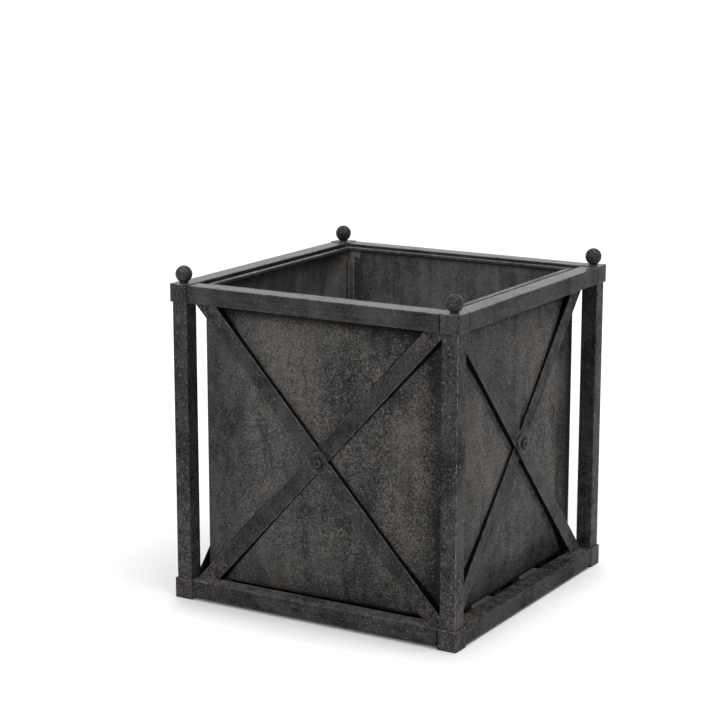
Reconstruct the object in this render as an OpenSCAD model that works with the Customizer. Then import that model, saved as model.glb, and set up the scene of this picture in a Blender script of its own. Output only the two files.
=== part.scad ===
// Versailles planter: a square iron frame on four socket feet, with ball finials and a riveted
// diagonal cross on every side, that holds a separate sheet metal liner.
// Millimetres. +Z is up, the front faces -Y, and the origin is on the floor under the centre.
// Every side of the frame is the front turned a quarter at a time about the upright axis.

/* [Frame] */
// Width and depth of the frame over its corner blocks
frame_w = 476; // [380:1:700]
// Height of the frame from the floor to the top of its corner blocks
frame_h = 476; // [380:1:700]
// Side of the square corner post
post_w = 25; // [22:0.5:27]
// Wall of the corner post's tube
post_wall = 2; // [1.5:0.25:3]
// Radius on the corner post's long edges
post_edge = 1.5; // [0.5:0.25:2.5]

/* [Corner blocks] */
// Side of the square corner block
block_w = 31; // [30:0.5:36]
// Radius on the corner block's upright edges
block_edge = 3; // [1.5:0.25:3.5]
// Radius on the corner block's level edges
block_soft = 1.2; // [0.5:0.1:1.5]
// Thickness of the plate that closes the corner block
block_plate = 5; // [3:0.5:8]
// Gap between a post and the walls of its socket
socket_fit = 0.15; // [0.05:0.05:0.3]

/* [Rails] */
// Height of a rail
rail_h = 26; // [22:0.5:32]
// Depth of a rail, from its outer to its inner face
rail_w = 28; // [24:0.5:31]
// Wall of the rail's tube
rail_wall = 2; // [1.5:0.25:3]
// Radius on the rail's long edges
rail_edge = 1.5; // [0.5:0.25:3]
// How far a rail's outer face is set back from the corner block's face
rail_inset = 0.5; // [0:0.25:1.5]
// Height of the lower rails above the floor
rail_lift = 4; // [2:0.5:8]
// How far the upper rails lie below the top of the corner blocks
rail_drop = 1; // [0.5:0.25:3]

/* [Cross braces] */
// Width of a flat brace bar
brace_w = 25; // [16:0.5:40]
// Thickness of a flat brace bar
brace_t = 4; // [3:0.25:6]
// Diameter of the round plate on the crossing
rosette_d = 34; // [28:0.5:44]
// Thickness of the round plate
rosette_t = 2.5; // [1.5:0.25:4]
// Diameter of the rivet's shank
rivet_d = 8; // [5:0.5:9]
// Diameter of the rivet's domed head
rivet_head_d = 14; // [12:0.5:20]
// Height of the rivet's domed head
rivet_head_h = 3.2; // [2:0.2:5]
// Diameter of the punched dimple in the middle of the rivet's domed head
dimple_d = 5; // [3:0.5:7]
// Depth of the punched dimple
dimple_depth = 1.2; // [0.5:0.1:1.8]
// Depth of the rivet's closing head, which is sunk flush into the back of the bar
rivet_sink = 2; // [1:0.25:2.5]
// Gap round a rivet or a stud in its hole
pin_fit = 0.1; // [0.05:0.05:0.3]

/* [Finials] */
// Diameter of the ball
ball_d = 25; // [18:0.5:32]
// Height of the short neck under the ball
neck_h = 2; // [0.8:0.1:3]
// Diameter of the short neck
neck_d = 12; // [10:0.5:14]
// Depth to which the ball is let into its neck
ball_sink = 0.2; // [0.1:0.1:1]
// Diameter of the stud that goes down into the corner block
stud_d = 8; // [5:0.5:9]

/* [Base slats] */
// Width of each of the three slats that carry the liner
slat_w = 82; // [50:1:90]
// Thickness of a slat
slat_t = 4; // [3:0.25:6]
// How far the slats' upper faces lie below the top of the lower rails
slat_drop = 8.5; // [5:0.5:14]
// How far the outer slats' edges lie inside the liner's outer faces
slat_margin = 6; // [2:0.5:20]

/* [Liner] */
// Gap between the liner's corners and the frame
liner_gap = 9.5; // [3:0.5:20]
// Gap that the swollen middle of each wall leaves to the bars
swell_gap = 0.5; // [0.3:0.1:3]
// Depth of the liner's rim below the top of the corner blocks
liner_drop = 4; // [2:0.5:30]
// Thickness of the liner's sheet metal
sheet = 1.5; // [1:0.25:2.5]
// Width of the flat rim that is folded inwards
rim_w = 8; // [5:0.5:14]
// Height of the rim's turned-down lip
rim_h = 3.5; // [3:0.25:8]
// Width of each leg of the angle strip soldered into a corner
strip_leg = 11; // [6:0.5:20]
// Thickness of the corner angle strip
strip_t = 1; // [0.5:0.25:2]
// Gap between the top of a corner strip and the rim's lip
strip_gap = 0.5; // [0:0.25:3]
// Width of a pad under the liner's floor
pad_w = 20; // [10:1:22]
// Length of a pad
pad_len = 30; // [15:1:60]
// Height of a pad
pad_h = 7.5; // [5:0.5:12]
// How far the pads stay inside the liner's outer faces
pad_inset = 4; // [1:0.5:20]
// How far the pads stay inside the long edges of the slat below them
pad_margin = 0.5; // [0:0.5:3]
// Diameter of a drain hole
drain_d = 14; // [8:1:22]
// Distance between the two drain holes over each gap in the base
drain_pitch = 150; // [60:1:180]

/* [Hidden] */
$fn = 48;

IRON = [0.20, 0.20, 0.21];
WORN_IRON = [0.27, 0.26, 0.26];
SHEET_METAL = [0.29, 0.28, 0.26];

// The corner blocks end level with the rails, so the opening between them is a plain rectangle
foot_h = rail_lift + rail_h;
cap_h = rail_drop + rail_h;
cap_bottom = frame_h - cap_h;
corner_at = frame_w / 2 - block_w / 2;
rail_len = frame_w - 2 * block_w;
rail_face = frame_w / 2 - rail_inset;
rail_back = rail_face - rail_w;

// The opening on each side, between the posts and between the rails
open_w = 2 * corner_at - post_w;
open_h = cap_bottom - foot_h;
open_mid = (cap_bottom + foot_h) / 2;
// A brace leans so that its long edges run exactly into two opposite corners of the opening
brace_lean = atan2(open_h, open_w) + asin(brace_w / norm([open_w, open_h]));
brace_len = 2 * norm([open_w, open_h]);
// Faces of the crossed bars, measured outwards from the middle of the planter
under_back = rail_back;
over_back = under_back + brace_t;
over_face = over_back + brace_t;
rosette_face = over_face + rosette_t;

ball_z = frame_h + neck_h + sqrt(pow(ball_d / 2, 2) - pow(neck_d / 2, 2)) - ball_sink;

slat_top = foot_h - slat_drop;
liner_w = 2 * (under_back - liner_gap);
liner_bottom = slat_top + pad_h;
liner_top = frame_h - liner_drop;
floor_w = liner_w - 2 * sheet;
strip_bottom = liner_bottom + sheet;
strip_top = liner_top - rim_h - strip_gap;
// A wall swells from its flat edges, which end at the corner strips, the floor and the rim's lip
swell = liner_gap - swell_gap;
swell_across = floor_w / 2 - strip_leg;
swell_up = (liner_top - rim_h - strip_bottom) / 2;
swell_mid = (liner_top - rim_h + strip_bottom) / 2;
// Distance from the middle slat to the slats in front of it and behind it
slat_pitch = liner_w / 2 - slat_margin - slat_w / 2;
// Distance from a slat's middle to the middle of each pad on it
pad_off = slat_w / 2 - pad_margin - pad_w / 2;

// Overshoot of a cut past the face that it goes through
cut = 1;

// ---------- Placing ----------

// Turns a piece drawn for the front left corner to corner k, counted anticlockwise from above
module at_corner(k) {
  rotate([0, 0, 90 * k])
    translate([-corner_at, -corner_at, 0])
      children();
}

// Turns a piece drawn for the front to side k, counted anticlockwise from above
module at_side(k) {
  rotate([0, 0, 90 * k])
    children();
}

// Stands a flat outline up in a side, at a distance outwards from the middle of the planter
module stand_up(outwards, thickness) {
  translate([0, -outwards, open_mid])
    rotate([90, 0, 0])
      linear_extrude(thickness)
        children();
}

// ---------- Outlines ----------

// Rectangle about the origin with true round corners
module rounded_rect(w, d, r) {
  square([w - 2 * r, d], center = true);
  square([w, d - 2 * r], center = true);
  for (x = [-1, 1])
    for (y = [-1, 1])
      translate([x * (w / 2 - r), y * (d / 2 - r)])
        circle(r);
}

// Share of the full swelling at a place that runs from -1 to 1 between two flat edges
function swelling(q) = abs(q) >= 1 ? 0 : pow(1 - pow(abs(q), 8), 1.5);

// Places from -1 to 1 that lie closer together towards both ends, spread over a half width
function spread(half, middle) = [for (i = [-6:6]) middle + half * sin(15 * i)];

// One flat bar across the opening, with both ends cut to the rails and its rivet hole
module brace_outline(direction) {
  difference() {
    intersection() {
      square([open_w, open_h], center = true);
      rotate(direction * brace_lean)
        square([brace_len, brace_w], center = true);
    }
    circle(rivet_d / 2 + pin_fit);
  }
}

// ---------- Frame ----------

// Corner block about the origin with soft edges, standing on z = 0
module soft_block(h) {
  intersection() {
    linear_extrude(h)
      rounded_rect(block_w, block_w, block_edge);
    translate([0, block_w / 2, h / 2])
      rotate([90, 0, 0])
        linear_extrude(block_w)
          rounded_rect(block_w, h, block_soft);
    translate([-block_w / 2, 0, h / 2])
      rotate([90, 0, 90])
        linear_extrude(block_w)
          rounded_rect(block_w, h, block_soft);
  }
}

// Socket for the end of a post, open at the top
module post_socket(depth) {
  linear_extrude(depth + cut)
    rounded_rect(post_w + 2 * socket_fit, post_w + 2 * socket_fit, post_edge);
}

module foot() {
  color(WORN_IRON)
    difference() {
      soft_block(foot_h);
      translate([0, 0, block_plate])
        post_socket(foot_h - block_plate);
    }
}

module cap() {
  color(IRON)
    translate([0, 0, cap_bottom])
      difference() {
        soft_block(cap_h);
        translate([0, 0, -cut])
          post_socket(cap_h - block_plate);
        translate([0, 0, cap_h - block_plate - cut])
          cylinder(h = block_plate + 2 * cut, d = stud_d + 2 * pin_fit);
      }
}

module post() {
  color(IRON)
    translate([0, 0, block_plate])
      linear_extrude(frame_h - 2 * block_plate)
        difference() {
          rounded_rect(post_w, post_w, post_edge);
          square(post_w - 2 * post_wall, center = true);
        }
}

// Ball on a short neck, with a stud that reaches through the corner block's plate
module finial() {
  color(WORN_IRON) {
    translate([0, 0, ball_z])
      sphere(d = ball_d, $fn = 64);
    translate([0, 0, frame_h])
      cylinder(h = ball_z - frame_h, d = neck_d);
    translate([0, 0, frame_h - block_plate])
      cylinder(h = block_plate + cut, d = stud_d);
  }
}

// Rectangular tube that runs from corner block to corner block, with its underside at a height
module rail(underside) {
  color(IRON)
    translate([-rail_len / 2, -rail_face + rail_w / 2, underside + rail_h / 2])
      rotate([90, 0, 90])
        linear_extrude(rail_len)
          difference() {
            rounded_rect(rail_w, rail_h, rail_edge);
            square([rail_w - 2 * rail_wall, rail_h - 2 * rail_wall], center = true);
          }
}

module lower_rail() {
  rail(rail_lift);
}

module upper_rail() {
  rail(cap_bottom);
}

// Cone of a rivet's closing head on a shank of this diameter, run on past the back of the bar
module closing_head(shank, past) {
  cylinder(h = rivet_sink, d1 = shank + 2 * rivet_sink, d2 = shank);
  if (past > 0)
    translate([0, 0, -past])
      cylinder(h = past, d = shank + 2 * rivet_sink);
}

// The bar behind rises to the right, and the bar in front falls to the right
module under_brace() {
  color(IRON)
    difference() {
      stand_up(under_back, brace_t)
        brace_outline(1);
      translate([0, -under_back, open_mid])
        rotate([90, 0, 0])
          closing_head(rivet_d + 2 * pin_fit, cut);
    }
}

module over_brace() {
  color(IRON)
    stand_up(over_back, brace_t)
      brace_outline(-1);
}

// Round plate with a broken edge
module rosette() {
  bevel = rosette_t / 3;
  hole = rivet_d / 2 + pin_fit;
  color(WORN_IRON)
    translate([0, -over_face, open_mid])
      rotate([90, 0, 0])
        rotate_extrude()
          polygon([
            [hole, 0],
            [rosette_d / 2, 0],
            [rosette_d / 2, rosette_t - bevel],
            [rosette_d / 2 - bevel, rosette_t],
            [hole, rosette_t]
          ]);
}

// Shank through both bars and the round plate, a dimpled dome outside and a flush head inside,
// so that nothing on the back of the bars catches on the liner
module rivet() {
  dome_r = (pow(rivet_head_d / 2, 2) + pow(rivet_head_h, 2)) / (2 * rivet_head_h);
  stack = rosette_face - under_back;
  translate([0, -under_back, open_mid])
    rotate([90, 0, 0]) {
      cylinder(h = stack, d = rivet_d);
      closing_head(rivet_d, 0);
      difference() {
        intersection() {
          translate([0, 0, stack + rivet_head_h - dome_r])
            sphere(dome_r);
          translate([0, 0, stack])
            cylinder(h = dome_r, d = rivet_head_d + cut);
        }
        translate([0, 0, stack + rivet_head_h - dimple_depth])
          cylinder(h = dimple_depth + cut, d = dimple_d);
      }
    }
}

module brace_rivets() {
  color(WORN_IRON)
    for (k = [0:3])
      at_side(k)
        rivet();
}

// Slat from side rail to side rail, this far behind the middle
module slat(back) {
  color(IRON)
    translate([0, back, slat_top - slat_t / 2])
      cube([2 * rail_back, slat_w, slat_t], center = true);
}

// ---------- Liner ----------

// Floor with four drain holes, each over a gap between two slats
module liner_floor() {
  color(SHEET_METAL)
    translate([0, 0, liner_bottom])
      linear_extrude(sheet)
        difference() {
          square(floor_w, center = true);
          for (x = [-1, 1])
            for (y = [-1, 1])
              translate([x * drain_pitch / 2, y * slat_pitch / 2])
                circle(drain_d / 2);
        }
}

// Wall in the front, this long. The sheet swells outwards between flat edges, as it does under
// the weight of the soil. Each level is a ring of points, along the outer face and back along
// the inner one, and neighbouring rings are joined by triangles.
module liner_wall(len) {
  across = [-len / 2, each spread(swell_across, 0), len / 2];
  levels = [liner_bottom, each spread(swell_up, swell_mid), liner_top - sheet];
  last = 2 * len(across) - 1;
  around = [for (i = [0:last]) i <= last / 2 ? [across[i], 0] : [across[last - i], sheet]];
  points = [
    for (z = levels)
      let (bulge = swell * swelling((z - swell_mid) / swell_up))
        for (p = around)
          [p[0], p[1] - liner_w / 2 - bulge * swelling(p[0] / swell_across), z]
  ];
  size = last + 1;
  top = size * (len(levels) - 1);
  skin = [
    for (j = [0:len(levels) - 2])
      for (i = [0:last])
        let (a = size * j + i, b = size * j + (i + 1) % size)
          each [[a, a + size, b + size], [a, b + size, b]]
  ];
  ends = [
    for (i = [0:len(across) - 2])
      each [
        [i, i + 1, last - i - 1, last - i],
        [top + last - i, top + last - i - 1, top + i + 1, top + i]
      ]
  ];
  color(SHEET_METAL)
    polyhedron(points, [each skin, each ends]);
}

// Rim folded inwards off the wall's upper edge, with a turned-down lip and mitred ends
module liner_rim() {
  profile = [
    [0, 0], [rim_w, 0], [rim_w, -rim_h], [rim_w - sheet, -rim_h], [rim_w - sheet, -sheet], [0, -sheet]
  ];
  color(SHEET_METAL)
    intersection() {
      translate([-liner_w / 2, -liner_w / 2, liner_top])
        rotate([90, 0, 90])
          linear_extrude(liner_w)
            polygon(profile);
      translate([0, 0, liner_top - rim_h - cut])
        linear_extrude(rim_h + 2 * cut)
          polygon([
            [-liner_w / 2, -liner_w / 2],
            [liner_w / 2, -liner_w / 2],
            [liner_w / 2 - rim_w, rim_w - liner_w / 2],
            [rim_w - liner_w / 2, rim_w - liner_w / 2]
          ]);
    }
}

// Angle strip soldered into the inside of the front left corner
module liner_strip() {
  color(SHEET_METAL)
    translate([-floor_w / 2, -floor_w / 2, strip_bottom])
      linear_extrude(strip_top - strip_bottom)
        polygon([
          [0, 0], [strip_leg, 0], [strip_leg, strip_t], [strip_t, strip_t], [strip_t, strip_leg],
          [0, strip_leg]
        ]);
}

// Pads under both ends of the floor, two over each end of every slat
module liner_pads() {
  color(SHEET_METAL)
    for (end = [-1, 1])
      for (slat = [-1, 0, 1])
        for (side = [-1, 1])
          translate([
            end * (liner_w / 2 - pad_inset - pad_len / 2),
            slat * slat_pitch + side * pad_off,
            slat_top + pad_h / 2
          ])
            cube([pad_len, pad_w, pad_h], center = true);
}

// ---------- Nodes ----------

at_corner(0) foot();  // foot_front_left
at_corner(1) foot();  // foot_front_right
at_corner(2) foot();  // foot_back_right
at_corner(3) foot();  // foot_back_left
at_corner(0) post();  // post_front_left
at_corner(1) post();  // post_front_right
at_corner(2) post();  // post_back_right
at_corner(3) post();  // post_back_left
at_corner(0) cap();  // cap_front_left
at_corner(1) cap();  // cap_front_right
at_corner(2) cap();  // cap_back_right
at_corner(3) cap();  // cap_back_left
at_corner(0) finial();  // finial_front_left
at_corner(1) finial();  // finial_front_right
at_corner(2) finial();  // finial_back_right
at_corner(3) finial();  // finial_back_left
at_side(0) lower_rail();  // lower_rail_front
at_side(1) lower_rail();  // lower_rail_right
at_side(2) lower_rail();  // lower_rail_back
at_side(3) lower_rail();  // lower_rail_left
at_side(0) upper_rail();  // upper_rail_front
at_side(1) upper_rail();  // upper_rail_right
at_side(2) upper_rail();  // upper_rail_back
at_side(3) upper_rail();  // upper_rail_left
at_side(0) under_brace();  // under_brace_front
at_side(1) under_brace();  // under_brace_right
at_side(2) under_brace();  // under_brace_back
at_side(3) under_brace();  // under_brace_left
at_side(0) over_brace();  // over_brace_front
at_side(1) over_brace();  // over_brace_right
at_side(2) over_brace();  // over_brace_back
at_side(3) over_brace();  // over_brace_left
at_side(0) rosette();  // rosette_front
at_side(1) rosette();  // rosette_right
at_side(2) rosette();  // rosette_back
at_side(3) rosette();  // rosette_left
brace_rivets();
slat(-slat_pitch);  // slat_front
slat(0);  // slat_middle
slat(slat_pitch);  // slat_back
liner_floor();
at_side(0) liner_wall(liner_w);  // liner_wall_front
at_side(1) liner_wall(floor_w);  // liner_wall_right
at_side(2) liner_wall(liner_w);  // liner_wall_back
at_side(3) liner_wall(floor_w);  // liner_wall_left
at_side(0) liner_rim();  // liner_rim_front
at_side(1) liner_rim();  // liner_rim_right
at_side(2) liner_rim();  // liner_rim_back
at_side(3) liner_rim();  // liner_rim_left
at_side(0) liner_strip();  // liner_strip_front_left
at_side(1) liner_strip();  // liner_strip_front_right
at_side(2) liner_strip();  // liner_strip_back_right
at_side(3) liner_strip();  // liner_strip_back_left
liner_pads();
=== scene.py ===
# %% [markdown]
# # A Versailles planter in dark patinated iron
#
# The planter is a square iron frame that stands on four socket feet. Each side is crossed by
# two flat bars that are riveted together in the middle, a ball stands on every corner, and a
# sheet metal liner stands loose inside and lifts out. The solids come ready from the packed
# model. What this lesson adds is what the eye looks for on such a thing: old dark metal with
# worn edges, a mottled liner, forged balls, hand-set rivets and weld beads.

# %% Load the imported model
import math

import bpy
import numpy as np
from mathutils import Matrix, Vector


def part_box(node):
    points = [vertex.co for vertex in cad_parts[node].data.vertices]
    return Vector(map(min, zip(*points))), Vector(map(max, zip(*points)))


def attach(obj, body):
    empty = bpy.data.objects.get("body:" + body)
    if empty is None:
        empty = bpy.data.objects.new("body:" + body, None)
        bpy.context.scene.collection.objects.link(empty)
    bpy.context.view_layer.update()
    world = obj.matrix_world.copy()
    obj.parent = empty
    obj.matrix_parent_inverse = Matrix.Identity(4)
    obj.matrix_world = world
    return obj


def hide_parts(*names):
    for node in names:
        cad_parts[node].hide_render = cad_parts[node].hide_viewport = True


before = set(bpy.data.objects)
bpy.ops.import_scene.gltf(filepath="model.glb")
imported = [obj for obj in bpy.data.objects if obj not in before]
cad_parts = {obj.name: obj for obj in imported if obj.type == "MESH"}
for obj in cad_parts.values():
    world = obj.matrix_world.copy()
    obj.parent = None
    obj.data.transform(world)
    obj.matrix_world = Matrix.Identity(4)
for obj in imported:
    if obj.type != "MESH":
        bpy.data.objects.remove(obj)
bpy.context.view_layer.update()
MM = 0.001

# %% [markdown]
# Sizes and places are read off the solids wherever they can be, so that every finish and every
# added piece stays where the planter really has metal. The planter is centred on the upright
# axis and all four sides are alike, which lets the distance from the middle, |x| or |y|, stand
# for "how far out".

# %% Read the sizes off the solids


def span(node, axis):
    """Lowest and highest coordinate of a solid along one axis, in metres."""
    low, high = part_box(node)
    return low[axis], high[axis]


FOOT_LOW, FOOT_HIGH = span("foot_front_left", 2)
CAP_LOW, CAP_HIGH = span("cap_front_left", 2)
BLOCK_IN, BLOCK_OUT = span("foot_front_right", 0)
POST_IN, POST_OUT = span("post_front_right", 0)
RAIL_IN, RAIL_OUT = span("upper_rail_right", 0)
CORNER = (POST_OUT + POST_IN) / 2
MIDDLE_Z = (FOOT_HIGH + CAP_LOW) / 2
print("corner block", round((BLOCK_OUT - BLOCK_IN) / MM, 1), "mm")
print("post", round((POST_OUT - POST_IN) / MM, 1), "mm")

# %% [markdown]
# ## The camera
#
# The camera stands to the right of the planter and a little above it. Its place was worked out
# from the edges of the planter in the photograph, so the render can be laid over it. A matrix
# built from the three directions right, up and back turns it without any tracking constraint.

# %% Put the camera at the photograph's angle
AZIMUTH = math.radians(30.836)
ELEVATION = math.radians(12.371)
LEVEL = math.cos(ELEVATION)
BACK = np.array([math.sin(AZIMUTH) * LEVEL, -math.cos(AZIMUTH) * LEVEL, math.sin(ELEVATION)])
RIGHT = np.array([math.cos(AZIMUTH), math.sin(AZIMUTH), 0.0])
UP = np.cross(BACK, RIGHT)
STAND = np.array([1.51995, -2.64360, 1.01294])
LENS_MM = 104.07
SENSOR_MM = 36.0


def facing(right, up, back):
    """The turn whose columns are the directions right, up and back."""
    rows = [[*row, 0.0] for row in np.column_stack([right, up, back])]
    return Matrix(rows + [[0.0, 0.0, 0.0, 1.0]])


camera = bpy.data.objects.new("camera", bpy.data.cameras.new("camera"))
bpy.context.scene.collection.objects.link(camera)
camera.data.sensor_width = SENSOR_MM
camera.data.lens = LENS_MM
camera.matrix_world = Matrix.Translation(STAND) @ facing(RIGHT, UP, BACK)
bpy.context.scene.camera = camera
bpy.context.scene.view_settings.view_transform = "Standard"
print("camera", round(float(np.linalg.norm(STAND)), 3), "m from the middle of the planter's foot")

# %% [markdown]
# ## Shader maths as Python
#
# A shader is a net of small nodes, and wiring it by hand hides the idea behind it. Here a
# socket is wrapped in a class that knows +, - and *, so that an expression such as 1 - mask
# adds its own Math nodes.

# %% A wrapped socket


class Value:
    """One output socket of a material. Arithmetic on it adds Math nodes."""

    def __init__(self, net, socket):
        self.net = net
        self.socket = socket

    def maths(self, operation, *terms):
        return self.net.add("ShaderNodeMath", {"operation": operation}, dict(enumerate(terms)))

    def __add__(self, other):
        return self.maths("ADD", self, other)

    def __radd__(self, other):
        return self.maths("ADD", other, self)

    def __sub__(self, other):
        return self.maths("SUBTRACT", self, other)

    def __rsub__(self, other):
        return self.maths("SUBTRACT", other, self)

    def __mul__(self, other):
        return self.maths("MULTIPLY", self, other)

    def __rmul__(self, other):
        return self.maths("MULTIPLY", other, self)

    def __abs__(self):
        return self.maths("ABSOLUTE", self)

    def smaller(self, other):
        return self.maths("MINIMUM", self, other)

    def larger(self, other):
        return self.maths("MAXIMUM", self, other)


print("a wrapped socket knows +, -, *, abs, smaller and larger")

# %% [markdown]
# ## One net for each material
#
# Every other node comes from one method, which takes the node's type, its settings, and a value
# or a link for each input. The rest of the class names the few things that all the finishes
# are made of: noise, a soft step, a blend of two colours, and a dull surface under wax.

# %% A material's net
WAX_IOR = 1.15
WAX_ROUGH = 0.2


class Net:
    """The node net of one material, with the object's own coordinates ready as x, y and z."""

    def __init__(self, name):
        self.material = bpy.data.materials.new(name)
        self.material.use_nodes = True
        self.tree = self.material.node_tree
        self.tree.nodes.clear()
        self.place = self.add("ShaderNodeTexCoord", {}, {}, "Object")
        self.x = self.add("ShaderNodeSeparateXYZ", {}, {0: self.place})
        self.y = Value(self, self.x.socket.node.outputs[1])
        self.z = Value(self, self.x.socket.node.outputs[2])

    def add(self, kind, settings, inputs, output=0):
        """Adds one node: its settings first, then a value or a link for each input."""
        node = self.tree.nodes.new(kind)
        for name, value in settings.items():
            setattr(node, name, value)
        for key, value in inputs.items():
            if isinstance(value, Value):
                self.tree.links.new(value.socket, node.inputs[key])
            elif isinstance(value, (tuple, list)) and node.inputs[key].type == "RGBA":
                node.inputs[key].default_value = (*value, 1.0)
            else:
                node.inputs[key].default_value = value
        return Value(self, node.outputs[output]) if len(node.outputs) else None

    def mottle(
        self,
        scale,
        detail=5.0,
        rough=0.6,
        stretch=(1.0, 1.0, 1.0),
        shift=(0.0, 0.0, 0.0),
        warp=0.0,
    ):
        """Noise from 0 to 1 whose blotches are about 1 / scale metres across."""
        moved = {"Vector": self.place, "Location": shift, "Scale": stretch}
        place = self.add("ShaderNodeMapping", {}, moved)
        inputs = {"Vector": place, "Scale": scale, "Distortion": warp}
        inputs.update({"Detail": detail, "Roughness": rough})
        return self.add("ShaderNodeTexNoise", {}, inputs)

    def clamp(self, value):
        """The value, held between 0 and 1."""
        return value.larger(0.0).smaller(1.0)

    def trait(self, name):
        """A number that a piece's mesh carries at each of its points."""
        return self.add("ShaderNodeAttribute", {"attribute_name": name}, {}, "Fac")

    def step(self, value, low, high):
        """0 below low, 1 above high, and a soft S between them."""
        settings = {"interpolation_type": "SMOOTHSTEP"}
        return self.add("ShaderNodeMapRange", settings, {"Value": value, "From Min": low, "From Max": high})

    def blend(self, share, first, second):
        """The first colour where share is 0 and the second where it is 1."""
        settings = {"data_type": "RGBA"}
        return self.add("ShaderNodeMix", settings, {0: share, 6: first, 7: second}, 2)

    def finish(self, colour, rough, wax, height, depth):
        """Ends the net in a dull surface under a coat of wax, with a bump of this depth in metres."""
        bump = self.add("ShaderNodeBump", {}, {"Strength": 1.0, "Distance": depth, "Height": height})
        inputs = {"Base Color": colour, "Roughness": rough, "Specular IOR Level": 0.0, "Normal": bump}
        inputs.update({"Coat Weight": wax, "Coat IOR": WAX_IOR, "Coat Roughness": WAX_ROUGH})
        shader = self.add("ShaderNodeBsdfPrincipled", {}, inputs)
        self.add("ShaderNodeOutputMaterial", {}, {"Surface": shader})
        return self.material


print("a net has noise, steps, blends and a waxed surface")

# %% [markdown]
# ## Dark iron
#
# Waxed or blackened iron isn't one flat black. It is a very dark grey with a little violet, it
# is cloudy at the width of a hand, grainy at the width of coarse sand, and rubbed lighter
# wherever a cloth or a boot catches an edge. The clouds and the grain are noise on the object's
# own coordinates, added up into one number that runs from the darkest to the lightest colour.

# %% The iron finish
IRON_DARK = (0.0085, 0.0080, 0.0090)
IRON_LIGHT = (0.074, 0.069, 0.072)
IRON_SPECK = (0.19, 0.170, 0.150)
IRON_PIT = (0.005, 0.005, 0.005)
IRON_HANDLED = (0.118, 0.113, 0.119)
IRON_DUST = (0.165, 0.148, 0.130)
IRON_RUBBED = (0.25, 0.232, 0.215)
IRON_SHADE_AND_SEAM_BLACK = (0.004, 0.004, 0.0045)
IRON_BUMP = 0.3 * MM
SPECK_PLACE = (7.0, 1.0, 2.0)


def toned(colour, tone):
    """The colour, made lighter or darker by a factor."""
    return tuple(tone * part for part in colour)


def iron(
    name,
    edge=None,
    black_shade_and_seams=None,
    dust=None,
    top=None,
    tone=1.0,
    shift=(0.0, 0.0, 0.0),
    wear=1.0,
    calm=1.0,
    brush=(1.0, 1.0, 0.06),
    traits=False,
):
    """Cloudy dark iron.

    edge, hide and dust are functions of the net. edge gives the distance to the nearest edge,
    hide is 1 where black is painted: painted shade on sides and in hollows, and dark seams.
    dust is 1 where dust has settled.
    top is the height of an upper face that hands have worn lighter. tone scales the clouds'
    colours, wear the rubbed edges, and calm the grain and specks. shift picks another stretch
    of the noise. brush is the stretch of the streaks that wiping leaves along a piece. With
    traits, rubbed and hidden come from the piece's mesh instead.
    """
    net = Net(name)
    clouds = net.mottle(13.0, 5.0, 0.60, shift=shift, warp=0.5)
    blots = net.mottle(80.0, 3.0, 0.6, shift=shift)
    grain = net.mottle(420.0, 2.0, 0.6, shift=shift)
    specks = net.mottle(300.0, 1.0, 0.5, shift=SPECK_PLACE)
    streaks = net.mottle(260.0, 2.0, 0.6, stretch=brush, shift=shift)
    fine = 0.6 * (blots - 0.5) + 1.4 * (grain - 0.5)
    share = 0.42 + 1.4 * (clouds - 0.5) + 0.6 * (streaks - 0.5) + calm * fine
    base = net.blend(net.clamp(share), toned(IRON_DARK, tone), toned(IRON_LIGHT, tone))
    base = net.blend(net.step(specks, 0.64, 0.73) * (0.55 * calm), base, IRON_SPECK)
    base = net.blend((1.0 - net.step(specks, 0.28, 0.35)) * (0.8 * calm), base, IRON_PIT)
    rough = 0.34 + 0.3 * (grain - 0.5)
    wax = net.clamp(0.80 + 1.6 * (clouds - 0.5) + 1.2 * (grain - 0.5) + 0.8 * (blots - 0.5))
    height = 0.5 * grain + 0.8 * blots
    rub = net.step(net.mottle(140.0, 4.0, 0.7, shift=shift) + 0.5 * blots, 0.66, 0.92)
    if top:
        level = net.step(net.z, top - 0.4 * MM, top - 0.1 * MM)
        handled = net.step(0.7 * grain + 0.5 * streaks + 0.5 * (blots + clouds), 0.80, 1.30)
        base = net.blend(level * handled * 0.8, base, IRON_HANDLED)
        wax = net.clamp(wax + 0.3 * level)
    if dust:
        settled = dust(net) * net.step(grain + 0.7 * blots, 0.75, 1.00)
        base = net.blend(settled * 0.7, base, IRON_DUST)
    rubbed = None
    shade_and_seams = black_shade_and_seams(net) if black_shade_and_seams else None
    if traits:
        rubbed = net.trait("rubbed") * (0.35 + 0.65 * rub) * wear
        shade_and_seams = net.trait("shade_and_seams")
    elif edge:
        at_edge = 1.0 - net.step(edge(net), 0.2 * MM, 1.3 * MM)
        rubbed = at_edge * (0.08 + 0.92 * rub) * wear
    if rubbed is not None:
        base = net.blend(rubbed, base, IRON_RUBBED)
    # Black painted as shade on the bars' sides and backs, in the rivets' hollows and on the posts' inner
    # faces, and black in the seams at the rail ends
    if shade_and_seams is not None:
        base = net.blend(shade_and_seams * 0.85, base, IRON_SHADE_AND_SEAM_BLACK)
        wax = wax * (1.0 - 0.85 * shade_and_seams)
    return net.finish(base, rough, wax, height, IRON_BUMP)


print("iron has a bump of", round(IRON_BUMP / MM, 2), "mm")

# %% [markdown]
# ## Where the iron is rubbed, black or dusty
#
# The rubbed edges are worked out rather than painted: on a box, a point on the surface has
# distance 0 to the face that it lies on, and it is near an edge where the second smallest of
# its three face distances is small too. Only edges that a hand can reach are rubbed. The seams
# at the ends of the front and back rails stay black, the faces of a post that look towards the
# liner get a little painted shade, and dust lies where rain and brooms leave it.

# %% Distances to edges, seams and dust


def second_smallest(a, b, c):
    """The middle one of three values: larger(smaller(a, b), smaller(larger(a, b), c))."""
    return a.smaller(b).larger(a.larger(b).smaller(c))


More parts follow.
